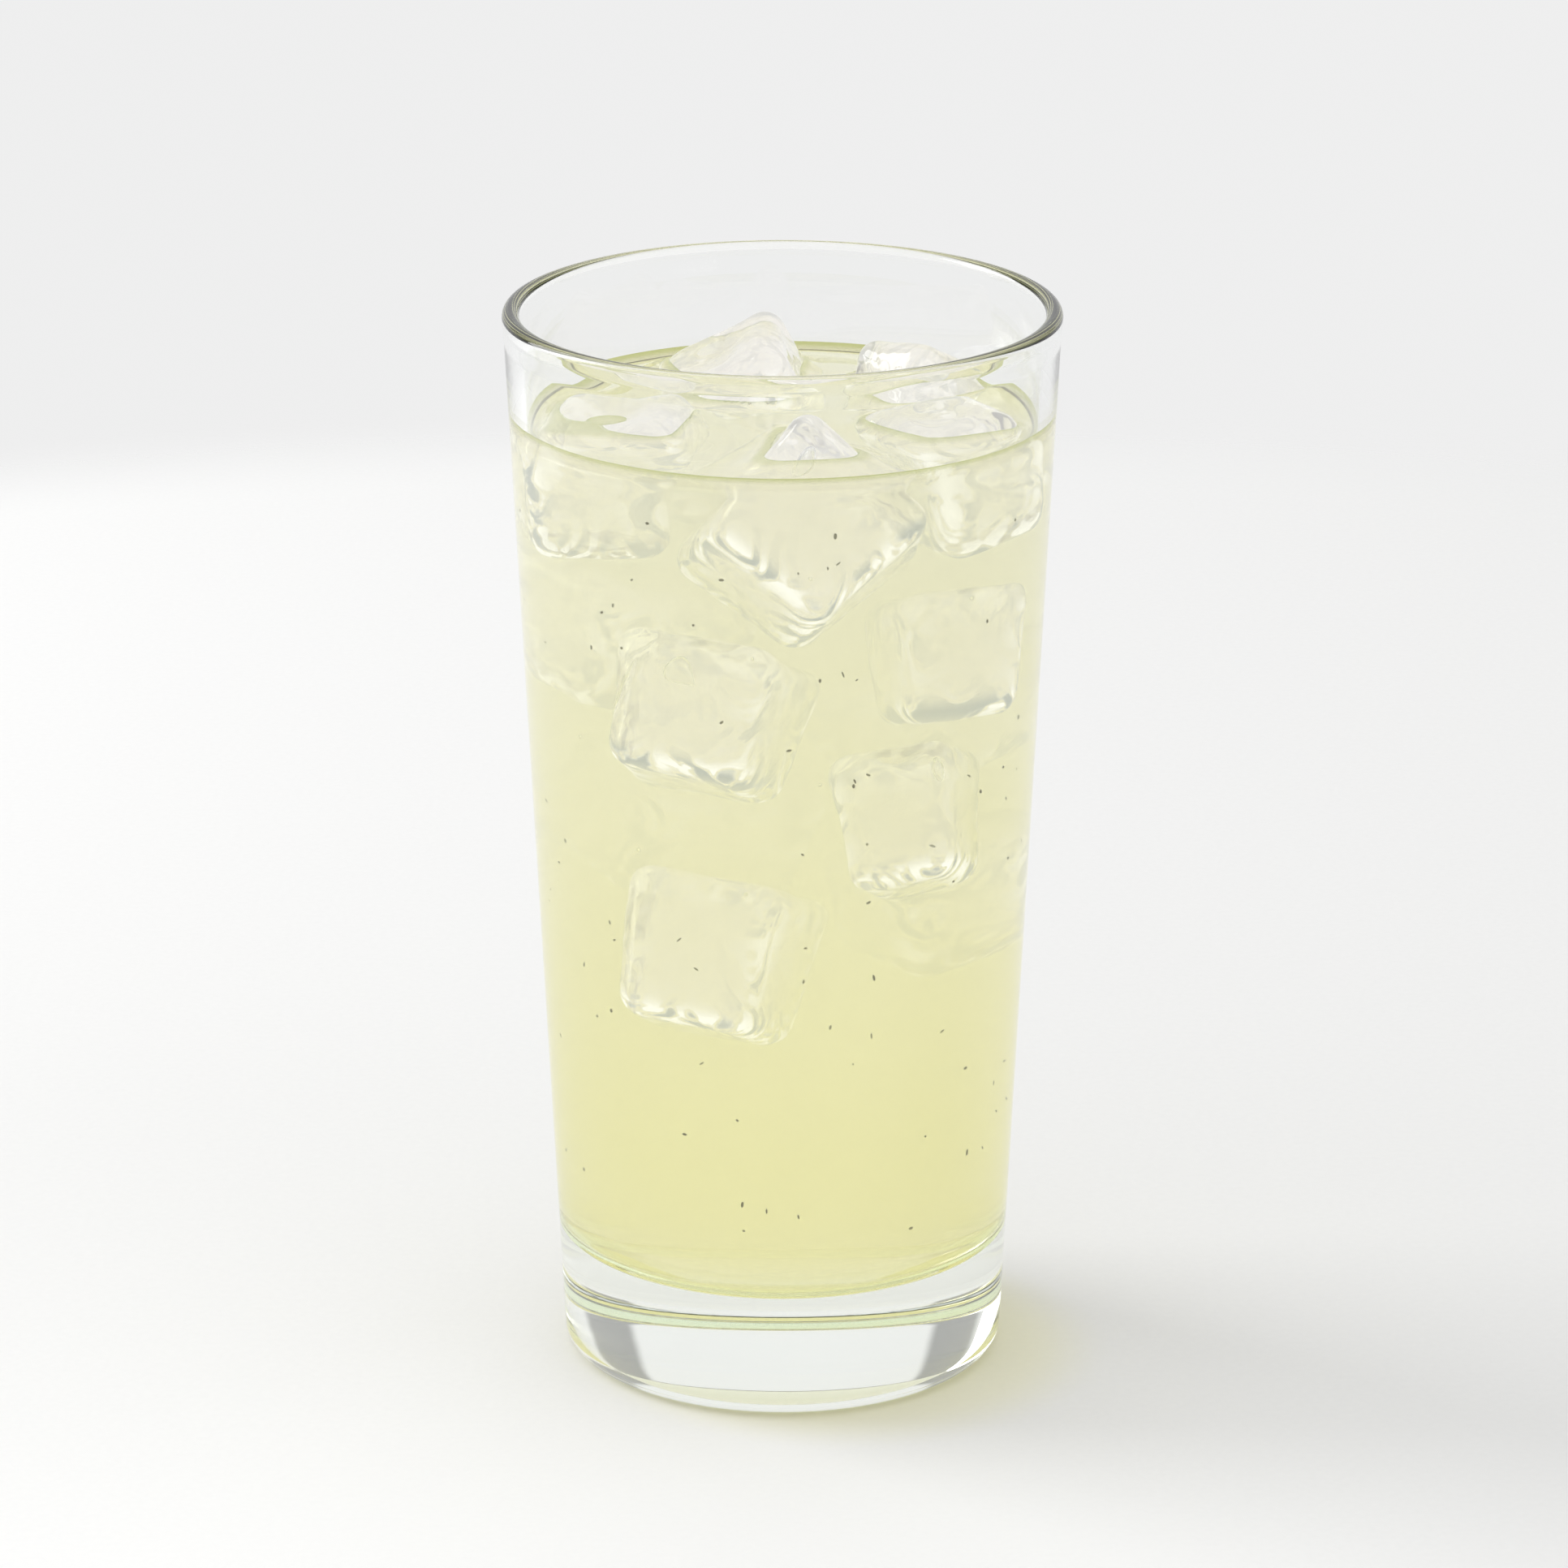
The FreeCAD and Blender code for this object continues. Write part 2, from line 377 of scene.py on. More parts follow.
@dataclass(frozen=True)
class CloudyLemonade:
    """Pressed lemon juice, sugar and water: pale yellow and cloudy with fine pulp.

    Part of the haze scatters the light that reaches it; the rest is a painted glow, emission that
    stands for light that has bounced about in the juice so long that it comes evenly from all sides.
    The milky body is thinner and its painted glow paler towards the top, and a thin band of painted
    dark shade is laid on the surface where the drink climbs the wall.
    """

    index: float = 1.345
    skin: Colour = (0.975, 0.968, 0.80, 1.0)
    haze: float = 14.0
    forward: float = 0.5
    # Density of the milky body, which both hides what is behind and gives off the painted glow.
    body: float = 60.0
    top_share: float = 0.42
    # Painted light: the colours of the glow near the top and near the bottom.
    top_glow: Colour = (0.90, 0.88, 0.68, 1.0)
    low_glow: Colour = (0.84, 0.805, 0.42, 1.0)
    fade: tuple[float, float] = (0.035, 0.145)
    thinning: tuple[float, float] = (0.050, 0.136)
    waves: float = 90.0
    wave_height: float = 0.0001
    # Painted shade: a dark olive line laid where the drink climbs the wall.
    brim_shade: Colour = (0.50, 0.53, 0.20, 1.0)
    brim_shade_rise: tuple[float, float] = (0.1353, 0.1360)
    brim_shade_cover: float = 0.5

    def build(self) -> bpy.types.Material:
        """Make the material.

        Returns:
            The material.
        """
        material, wiring, output = new_material("cloudy_lemonade")
        normal = ripple(wiring, self.waves, self.wave_height)
        shader = clear_shader(wiring, self.skin, self.index, normal)
        place = wiring.add("ShaderNodeTexCoord").outputs["Object"]
        height = wiring.add("ShaderNodeSeparateXYZ", Vector=place).outputs["Z"]
        # Painted shade: dark olive emission mixed into the surface at the climbing edge.
        brim_shade = wiring.span(height, *self.brim_shade_rise, high=self.brim_shade_cover)
        edge = wiring.add("ShaderNodeEmission", Color=self.brim_shade)
        wiring.feed(output.inputs["Surface"], wiring.mixed(brim_shade, shader, edge.outputs[0]))
        haze = wiring.add("ShaderNodeVolumeScatter", Color=(1, 1, 1, 1), Density=self.haze,
                          Anisotropy=self.forward)
        # Painted light: the emission glow, blended from the bottom colour to the top one.
        glow = wiring.blend(wiring.span(height, *self.fade, curve="LINEAR"), self.low_glow, self.top_glow)
        depth = wiring.span(height, *self.thinning, self.body, self.body * self.top_share, "LINEAR")
        wiring.feed(output.inputs["Volume"], glowing_fog(wiring, glow, depth, haze.outputs[0]))
        return material


@dataclass(frozen=True)
class WetIce:
    """Ice from a tray: wet, softened by melting, milky inside with a painted glow, and with painted glints
    and painted dark streaks along its edges.
    """

    index: float = 1.5
    tint: Colour = (0.99, 0.995, 0.99, 1.0)
    # Real milky haze inside the ice, which also gives off a painted glow of the colour below.
    haze_and_glow_density: float = 55.0
    heart_glow: Colour = (0.90, 0.865, 0.85, 1.0)
    waves: float = 150.0
    wave_height: float = 0.0006
    # Painted highlights and painted dark reflections on the rounded edges, drawn with emission.
    glint: Colour = (1.15, 1.15, 1.12, 1.0)
    painted_dark_streak: Colour = (0.42, 0.46, 0.46, 1.0)
    edge_cover: float = 0.9
    bends: float = 120.0
    bend_detail: float = 1.5
    bend_twist: float = 3.0
    painted_dark_streak_end: float = 0.40
    glint_start: float = 0.54
    strong_reach: tuple[float, float] = (0.01, 0.09)
    underside: float = 0.35
    upper_share: float = 0.12

    def build(self) -> bpy.types.Material:
        """Make the material.

        Returns:
            The material.
        """
        material, wiring, output = new_material("wet_ice")
        normal = ripple(wiring, self.waves, self.wave_height)
        shader = clear_shader(wiring, self.tint, self.index, normal)
        place = wiring.add("ShaderNodeTexCoord").outputs["Object"]
        bend = wiring.add("ShaderNodeTexNoise", Vector=place, Scale=self.bends, Detail=self.bend_detail,
                          Distortion=self.bend_twist).outputs["Fac"]
        tone = wiring.add("ShaderNodeValToRGB", Fac=bend)
        first, last = tone.color_ramp.elements
        first.position = self.painted_dark_streak_end
        first.color = self.painted_dark_streak
        last.position = self.glint_start
        last.color = self.glint
        apart = wiring.math("ABSOLUTE", wiring.math("SUBTRACT", bend, 0.5))
        strong = wiring.span(apart, *self.strong_reach)
        facing = wiring.add("ShaderNodeNewGeometry").outputs["Normal"]
        under = wiring.add("ShaderNodeSeparateXYZ", Vector=facing).outputs["Z"]
        low = wiring.span(under, self.underside, -self.underside, self.upper_share)
        ridge = wiring.add("ShaderNodeAttribute", {"attribute_name": RIDGE}).outputs["Fac"]
        cover = wiring.math("MULTIPLY", wiring.math("MULTIPLY", ridge, low),
                            wiring.math("MULTIPLY", strong, self.edge_cover))
        # Painted glints and dark streaks: emission mixed onto the rounded edges, mostly those facing down.
        sheen = wiring.add("ShaderNodeEmission", Color=tone.outputs["Color"], Strength=1.0)
        wiring.feed(output.inputs["Surface"], wiring.mixed(cover, shader, sheen.outputs[0]))
        # The ice's inside hides what is behind it and gives off a painted glow.
        wiring.feed(output.inputs["Volume"], glowing_fog(wiring, self.heart_glow, self.haze_and_glow_density))
        return material


@dataclass(frozen=True)
class LemonShred:
    """A shred of lemon flesh, dull olive."""

    colour: Colour = (0.16, 0.15, 0.08, 1.0)
    pale: float = 1.6
    grains: float = 2000.0
    roughness: float = 0.6

    def build(self) -> bpy.types.Material:
        """Make the material.

        Returns:
            The material.
        """
        material, wiring, output = new_material("lemon_shred")
        place = wiring.add("ShaderNodeTexCoord").outputs["Object"]
        grain = wiring.add("ShaderNodeTexNoise", Vector=place, Scale=self.grains)
        tone = wiring.blend(grain.outputs["Fac"], self.colour, scaled(self.colour, self.pale))
        shader = wiring.add("ShaderNodeBsdfPrincipled", Base_Color=tone, Roughness=self.roughness)
        wiring.feed(output.inputs["Surface"], shader.outputs[0])
        return material


@dataclass(frozen=True)
class AirBubble:
    """The skin between the drink and a bubble; its faces look into the bubble."""

    index: float = 1.345
    tint: Colour = (0.98, 0.985, 0.96, 1.0)
    waves: float = 900.0
    wave_height: float = 0.00002

    def build(self) -> bpy.types.Material:
        """Make the material.

        Returns:
            The material.
        """
        material, wiring, output = new_material("air_bubble")
        normal = ripple(wiring, self.waves, self.wave_height)
        wiring.feed(output.inputs["Surface"], clear_shader(wiring, self.tint, self.index, normal))
        return material


@dataclass(frozen=True)
class PaleFloor:
    """A matt white table top whose far edge melts into the light behind it, with painted light round the
    glass: a painted yellow caustic, a painted glow under its heel and a painted pool of fill light in
    front.
    """

    colour: Colour = (0.86, 0.86, 0.855, 1.0)
    speckle: float = 0.02
    grains: float = 900.0
    grain_detail: float = 3.0
    far_reach: tuple[float, float] = (0.44, 0.50)
    # Painted light: a glow laid in a ring under the glass's heel, standing for light that comes through the
    # glass.
    through: Colour = (0.24, 0.27, 0.21, 1.0)
    under_glow_centre: Point2 = (0.0, 0.0)
    under_glow_reach: tuple[float, float] = (0.0268, 0.0298)
    # Painted light: a yellow caustic multiplied into the floor colour round the foot of the glass.
    painted_caustic: Colour = (1.0, 0.985, 0.82, 1.0)
    painted_caustic_centre: Point2 = (0.009, -0.004)
    painted_caustic_reach: tuple[float, float] = (0.025, 0.038)
    # Painted light: an emission pool of fill light on the floor in front of the glass.
    lift: float = 0.11
    fill_pool_centre: Point2 = (-0.02, -0.12)
    fill_pool_reach: tuple[float, float] = (0.05, 0.24)

    def near(self, wiring: Wiring, place: bpy.types.NodeSocket, centre: Point2,
             reach: Point2) -> bpy.types.NodeSocket:
        """A soft round mask on the floor.

        Args:
            wiring: The material's wiring.
            place: The position's socket.
            centre: The middle of the mask.
            reach: The radii where it starts to fade and is gone.

        Returns:
            The mask's socket.
        """
        apart = wiring.add("ShaderNodeVectorMath", {"operation": "DISTANCE"})
        wiring.feed(apart.inputs[0], place)
        wiring.feed(apart.inputs[1], (*centre, 0.0))
        return wiring.span(apart.outputs["Value"], reach[1], reach[0])

    def build(self) -> bpy.types.Material:
        """Make the material.

        Returns:
            The material.
        """
        material, wiring, output = new_material("pale_floor")
        place = wiring.add("ShaderNodeTexCoord").outputs["Object"]
        grain = wiring.add("ShaderNodeTexNoise", Vector=place, Scale=self.grains, Detail=self.grain_detail)
        dark = scaled(self.colour, 1 - self.speckle)
        light = scaled(self.colour, 1 + self.speckle)
        tone = wiring.blend(grain.outputs["Fac"], dark, light)
        reach = wiring.add("ShaderNodeVectorMath", {"operation": "LENGTH"})
        wiring.feed(reach.inputs[0], place)
        fade = wiring.span(reach.outputs["Value"], *self.far_reach)
        # Painted yellow caustic round the foot, multiplied into the floor colour.
        yellow = self.near(wiring, place, self.painted_caustic_centre, self.painted_caustic_reach)
        tone_with_painted_caustic = wiring.blend(yellow, tone, self.painted_caustic, "MULTIPLY")
        matt = wiring.add("ShaderNodeBsdfDiffuse", Color=tone_with_painted_caustic)
        # Painted glow in a ring under the heel of the glass.
        under = wiring.add("ShaderNodeEmission", Color=self.through)
        under_glow_ring = self.near(wiring, place, self.under_glow_centre, self.under_glow_reach)
        wiring.feed(under.inputs["Strength"], under_glow_ring)
        # Painted pool of fill light on the floor in front of the glass.
        painted_fill_pool = wiring.add("ShaderNodeEmission", Color=tone_with_painted_caustic)
        front = self.near(wiring, place, self.fill_pool_centre, self.fill_pool_reach)
        wiring.feed(painted_fill_pool.inputs["Strength"], wiring.math("MULTIPLY", front, self.lift))
        whole = wiring.added(matt.outputs[0], wiring.added(under.outputs[0], painted_fill_pool.outputs[0]))
        clear = wiring.add("ShaderNodeBsdfTransparent")
        wiring.feed(output.inputs["Surface"], wiring.mixed(fade, whole, clear.outputs[0]))
        return material


# ---------------------------------------------------------------------------------------
# Shapes
# ---------------------------------------------------------------------------------------


def rounded_path(corners: Sequence[Point2], radii: Sequence[float], steps: int = 10) -> list[Point2]:
    """Round the corners of an open outline with arcs.

    Args:
        corners: The outline's corners as (radius, height).
        radii: The arc radius at each corner; 0 keeps it sharp.
        steps: Points on each arc, less one.

    Returns:
        The outline's points.
    """
    path: list[Point2] = []
    for index, (corner, radius) in enumerate(zip(corners, radii)):
        here = Vector(corner)
        if radius <= 0 or index in (0, len(corners) - 1):
            path.append(tuple(here))
            continue
        before = (Vector(corners[index - 1]) - here).normalized()
        after = (Vector(corners[index + 1]) - here).normalized()
        half = before.angle(after) / 2
        middle = here + (before + after).normalized() * (radius / math.sin(half))
        first = here + before * (radius / math.tan(half))
        last = here + after * (radius / math.tan(half))
        sweep = (first - middle).angle_signed(last - middle)
        for step in range(steps + 1):
            spoke = (first - middle).copy()
            spoke.rotate(Matrix.Rotation(-sweep * step / steps, 2))
            path.append(tuple(middle + spoke))
    return path


def even_path(path: Sequence[Point2], spacing: float) -> list[Point2]:
    """Add points on the long straight runs of an outline.

    Args:
        path: The outline.
        spacing: The widest gap to leave between two points.

    Returns:
        The finer outline.
    """
    finer = [path[0]]
    for start, end in zip(path, path[1:]):
        run = Vector(end) - Vector(start)
        parts = max(1, math.ceil(run.length / spacing))
        finer += [tuple(Vector(start) + run * part / parts) for part in range(1, parts + 1)]
    return finer


def turned_group() -> bpy.types.NodeTree:
    """A Geometry Nodes tree that turns an outline about the vertical axis.

    Returns:
        The tree: the outline's points hold (radius, 0, height) and run along the wall.
    """
    name = "turned_form"
    if name in bpy.data.node_groups:
        return bpy.data.node_groups[name]
    inputs = [
        ("Outline", "NodeSocketGeometry", None),
        ("Segments", "NodeSocketInt", 256),
        ("Finish", "NodeSocketMaterial", None),
    ]
    wiring = new_group(name, "GeometryNodeTree", inputs, [("Geometry", "NodeSocketGeometry")])
    outline = wiring.source.outputs["Outline"]
    segments = wiring.source.outputs["Segments"]
    size = wiring.add("GeometryNodeAttributeDomainSize", {"component": "MESH"}, Geometry=outline)
    count = size.outputs["Point Count"]
    grid = wiring.add("GeometryNodeMeshGrid", Size_X=1.0, Size_Y=1.0)
    wiring.feed(grid.inputs["Vertices X"], wiring.math("ADD", segments, 1.0))
    wiring.feed(grid.inputs["Vertices Y"], count)
    index = wiring.add("GeometryNodeInputIndex").outputs[0]
    column = wiring.math("FLOOR", wiring.math("DIVIDE", wiring.math("ADD", index, 0.5), count))
    row = wiring.math("SUBTRACT", index, wiring.math("MULTIPLY", column, count))
    sample = wiring.add("GeometryNodeSampleIndex", {"data_type": "FLOAT_VECTOR", "domain": "POINT"})
    wiring.feed(sample.inputs["Geometry"], outline)
    position = wiring.add("GeometryNodeInputPosition").outputs[0]
    wiring.feed(sample.inputs["Value"], position)
    wiring.feed(sample.inputs["Index"], row)
    apart = wiring.add("ShaderNodeSeparateXYZ", Vector=sample.outputs["Value"])
    turn = wiring.math("DIVIDE", wiring.math("MULTIPLY", column, math.tau), segments)
    across = wiring.math("MULTIPLY", apart.outputs["X"], wiring.math("COSINE", turn))
    along = wiring.math("MULTIPLY", apart.outputs["X"], wiring.math("SINE", turn))
    place = wiring.add("ShaderNodeCombineXYZ", X=across, Y=along, Z=apart.outputs["Z"])
    moved = wiring.add("GeometryNodeSetPosition", Geometry=grid.outputs["Mesh"])
    wiring.feed(moved.inputs["Position"], place.outputs[0])
    merged = wiring.add("GeometryNodeMergeByDistance", Geometry=moved.outputs[0], Distance=1e-6)
    smooth = wiring.add("GeometryNodeSetShadeSmooth", Geometry=merged.outputs[0])
    dressed = wiring.add("GeometryNodeSetMaterial", Geometry=smooth.outputs[0])
    wiring.feed(dressed.inputs["Material"], wiring.source.outputs["Finish"])
    realised = wiring.add("GeometryNodeRealizeInstances", Geometry=dressed.outputs[0])
    wiring.feed(wiring.sink.inputs["Geometry"], realised.outputs[0])
    return wiring.tree


def new_object(name: str, mesh: bpy.types.Mesh) -> bpy.types.Object:
    """Link a mesh to the scene as an object at the origin.

    Args:
        name: The object's name.
        mesh: Its mesh.

    Returns:
        The object.
    """
    thing = bpy.data.objects.new(name, mesh)
    bpy.context.scene.collection.objects.link(thing)
    return thing


def grown(name: str, base: bpy.types.Mesh, tree: bpy.types.NodeTree, values: dict) -> bpy.types.Object:
    """Run a Geometry Nodes tree on a mesh and keep the result as a plain mesh object.

    Args:
        name: The finished object's name.
        base: The mesh that the tree starts from.
        tree: The Geometry Nodes tree.
        values: Socket names and their values.

    Returns:
        The finished object, with no modifier left.
    """
    carrier = new_object(name + "_source", base)
    modifier = carrier.modifiers.new("grow", "NODES")
    modifier.node_group = tree
    for socket in tree.interface.items_tree:
        if socket.item_type == "SOCKET" and socket.in_out == "INPUT" and socket.name in values:
            modifier[socket.identifier] = values[socket.name]
    shown = carrier.evaluated_get(bpy.context.evaluated_depsgraph_get())
    mesh = bpy.data.meshes.new_from_object(shown)
    bpy.data.objects.remove(carrier)
    mesh.name = name
    return new_object(name, mesh)


def outline_mesh(name: str, path: Sequence[Point2]) -> bpy.types.Mesh:
    """A mesh whose points are an outline, as (radius, 0, height).

    Args:
        name: The mesh's name.
        path: The outline as (radius, height).

    Returns:
        The mesh, with an edge from each point to the next.
    """
    mesh = bpy.data.meshes.new(name)
    edges = [(index, index + 1) for index in range(len(path) - 1)]
    mesh.from_pydata([(radius, 0.0, height) for radius, height in path], edges, [])
    return mesh


def face_outwards(mesh: bpy.types.Mesh) -> None:
    """Merge a closed mesh's doubles and turn its faces outwards.

    Args:
        mesh: The mesh to mend.
    """
    work = bmesh.new()
    work.from_mesh(mesh)
    bmesh.ops.remove_doubles(work, verts=work.verts, dist=DOUBLES)
    bmesh.ops.recalc_face_normals(work, faces=work.faces)
    work.to_mesh(mesh)
    work.free()


def dress(thing: bpy.types.Object, finish: bpy.types.Material) -> None:
    """Give a piece its only material and its body.

    Args:
        thing: The piece.
        finish: The material.
    """
    thing.data.materials.clear()
    thing.data.materials.append(finish)
    for polygon in thing.data.polygons:
        polygon.use_smooth = True
        polygon.material_index = 0
    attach(thing, ROOT)


@dataclass
class Tumbler:
    """The glass: straight leaning wall, rounded lip with a slight bead, heavy base."""

    rim_radius: float
    height: float
    base_radius: float = 30.65 * MM
    lip_wall: float = 2.3 * MM
    bead_proud: float = 0.25 * MM
    bead_drop: float = 4.5 * MM
    foot_wall: float = 3.0 * MM
    floor_height: float = 16.4 * MM
    floor_corner: float = 6.0 * MM
    heel_radius: float = 3.0 * MM
    ring_inset: float = 7.0 * MM
    punt_rise: float = 1.3 * MM
    bead_rounding: tuple[float, float] = (12.0 * MM, 8.0 * MM)
    lip_share: float = 0.49
    dome_steps: int = 24
    arc_steps: int = 12
    segments: int = 256
    spacing: float = 3.0 * MM

    @classmethod
    def from_frame(cls) -> "Tumbler":
        """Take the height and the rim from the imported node."""
        _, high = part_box("glass")
        return cls(rim_radius=high.x, height=high.z)

    @property
    def bore_foot(self) -> float:
        """Inner radius at the floor, before its corner is rounded."""
        lean = (self.rim_radius - self.bead_proud - self.base_radius) / (self.height - self.bead_drop)
        return self.base_radius + lean * self.floor_height - self.foot_wall

    def bore(self, height: float) -> float:
        """Inner radius at a height.

        Args:
            height: The height over the table.

        Returns:
            The radius in metres.
        """
        top = self.rim_radius - self.lip_wall
        share = (height - self.floor_height) / (self.height - self.floor_height)
        return self.bore_foot + (top - self.bore_foot) * share

    def outline(self) -> list[Point2]:
        """The half section, from the middle of the underside round to the floor's middle.

        Returns:
            Its points as (radius, height).
        """
        ring = self.base_radius - self.ring_inset
        dome = [
            (ring * math.sin(turn), self.punt_rise * math.cos(turn))
            for turn in (math.pi / 2 * step / self.dome_steps for step in range(self.dome_steps))
        ]
        corners = [
            (ring, 0.0),
            (self.base_radius, 0.0),
            (self.rim_radius - self.bead_proud, self.height - self.bead_drop),
            (self.rim_radius, self.height - self.bead_drop / 2),
            (self.rim_radius, self.height),
            (self.rim_radius - self.lip_wall, self.height),
            (self.bore_foot, self.floor_height),
            (0.0, self.floor_height),
        ]
        lip = self.lip_wall * self.lip_share
        radii = [0, self.heel_radius, *self.bead_rounding, lip, lip, self.floor_corner, 0]
        return dome + even_path(rounded_path(corners, radii, self.arc_steps), self.spacing)

    def build(self, finish: bpy.types.Material) -> bpy.types.Object:
        """Make the glass and let it stand for its CAD node.

        Args:
            finish: The glass's material.

        Returns:
            The piece.
        """
        values = {"Segments": self.segments, "Finish": finish}
        glass = grown("tumbler", outline_mesh("tumbler_outline", self.outline()), turned_group(), values)
        face_outwards(glass.data)
        dress(glass, finish)
        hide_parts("glass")
        return glass


@dataclass
class AirPocket:
    """A flat bubble frozen into a cube, placed in the block's own frame, in millimetres."""

    centre: tuple[float, float, float]
    radii: tuple[float, float, float]
    spin: float = 0.0
    taper: float = 0.0

    def add_to(self, work: bmesh.types.BMesh) -> list[bmesh.types.BMVert]:
        """Add the bubble's skin, its faces turned into the bubble, away from the ice.

        Args:
            work: The mesh of the block, in metres.

        Returns:
            The bubble's points.
        """
        made = bmesh.ops.create_icosphere(work, subdivisions=4, radius=1.0)["verts"]
        spun = Matrix.Rotation(math.radians(self.spin), 3, "Y")
        for vertex in made:
            shape = Vector([vertex.co[i] * self.radii[i] for i in range(3)])
            shape.z *= 1 - self.taper * vertex.co.x
            vertex.co = (Vector(self.centre) + spun @ shape) * MM
        skin = {face for vertex in made for face in vertex.link_faces}
        bmesh.ops.reverse_faces(work, faces=list(skin))
        return made


@dataclass
class IceCube:
    """A block from a tray, rounded, dished and dented by melting."""

    name: str
    side: float
    height: float
    centre: Vector
    yaw: float
    tilt: float
    roll: float
    seed: int
    node: str | None = None
    draft: float = 2.5
    rounding: float = 3.4 * MM
    dimple_radius: float = 11.0 * MM
    dimple_depth: float = 0.9 * MM
    melt: float = 0.45 * MM
    dent: float = 0.14 * MM
    steps: int = 26
    ridge_reach: float = 6.0 * MM
    ridge_least: float = 0.12
    melt_lean: float = 0.7
    melt_waves: float = 105.0
    dent_waves: float = 290.0
    seed_step: float = 7.3
    pockets: Sequence[AirPocket] = ()

    def turn(self) -> Matrix:
        """The cube's rotation: yaw, then tilt, then roll.

        Returns:
            The rotation.
        """
        turned = Matrix.Identity(3)
        for axis, angle in (("Z", self.yaw), ("X", self.tilt), ("Y", self.roll)):
            turned = turned @ Matrix.Rotation(math.radians(angle), 3, axis)
        return turned

    def melted(self, unit: Vector) -> Vector:
        """Where a point of the unit cube's skin lies on the finished block.

        Args:
            unit: The point, each coordinate from -1 to 1.

        Returns:
            The point in the block's own frame, in metres.
        """
        half = Vector((self.side / 2, self.side / 2, self.height / 2))
        core = half - Vector((self.rounding,) * 3)
        place = Vector([unit[i] * half[i] for i in range(3)])
        inner = Vector([max(-core[i], min(core[i], place[i])) for i in range(3)])
        spoke = place - inner
        if spoke.length > 0:
            place = inner + spoke.normalized() * self.rounding
        narrow = 1 - math.tan(math.radians(self.draft)) * (half.z - place.z) / half.x
        place.x *= narrow
        place.y *= narrow
        ball = Vector((0, 0, half.z + self.dimple_radius - self.dimple_depth))
        out = place - ball
        if place.z > 0 and out.length < self.dimple_radius:
            place = ball + out.normalized() * self.dimple_radius
        shift = Vector((self.seed * self.seed_step, 0, 0))
        broad = noise.noise(place * self.melt_waves + shift)
        fine = noise.noise(place * self.dent_waves - shift)
        return place - place.normalized() * (self.melt * (self.melt_lean + broad) + self.dent * fine)

    def build_mesh(self, shrink: float = 0.0) -> bpy.types.Mesh:
        """The cube's mesh in the row frame.

        Args:
            shrink: How far its skin is drawn in, for the hollow that it leaves in the drink.

        Returns:
            The mesh, closed, with its faces outwards.
        """
        work = bmesh.new()
        bmesh.ops.create_cube(work, size=2.0)
        bmesh.ops.subdivide_edges(work, edges=work.edges, cuts=self.steps - 1, use_grid_fill=True)
        turned = self.turn()
        # This attribute places the painted glints and dark streaks on the rounded edges.
        ridge = work.verts.layers.float.new(RIDGE)
        for vertex in work.verts:
            vertex[ridge] = self.edge_share(vertex.co)
            vertex.co = self.centre + turned @ self.melted(vertex.co.copy())
        bmesh.ops.recalc_face_normals(work, faces=work.faces)
        if shrink:
            work.normal_update()
            moves = [(vertex, vertex.normal * shrink) for vertex in work.verts]
            for vertex, move in moves:
                vertex.co -= move
        else:
            for pocket in self.pockets:
                for vertex in pocket.add_to(work):
                    vertex.co = self.centre + turned @ vertex.co
        mesh = bpy.data.meshes.new(self.name)
        work.to_mesh(mesh)
        work.free()
        return mesh

    def edge_share(self, unit: Vector) -> float:
        """How round the block is at a point: least on a face, one on the ridge of an edge.

        Args:
            unit: The point of the unit cube's skin.

        Returns:
            The share, up to one.
        """
        half = (self.side / 2, self.side / 2, self.height / 2)
        over = [max(0.0, abs(unit[i]) * half[i] - half[i] + self.ridge_reach) for i in range(3)]
        over.sort()
        return min(1.0, over[1] / self.ridge_reach + self.ridge_least)

    def build(self, finish: bpy.types.Material) -> bpy.types.Object:
        """Make the cube, and let it stand for its CAD node if it has one.

        Args:
            finish: The ice's material.

        Returns:
            The piece.
        """
        cube = new_object(self.name, self.build_mesh())
        dress(cube, finish)
        if self.node:
            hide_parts(self.node)
        return cube


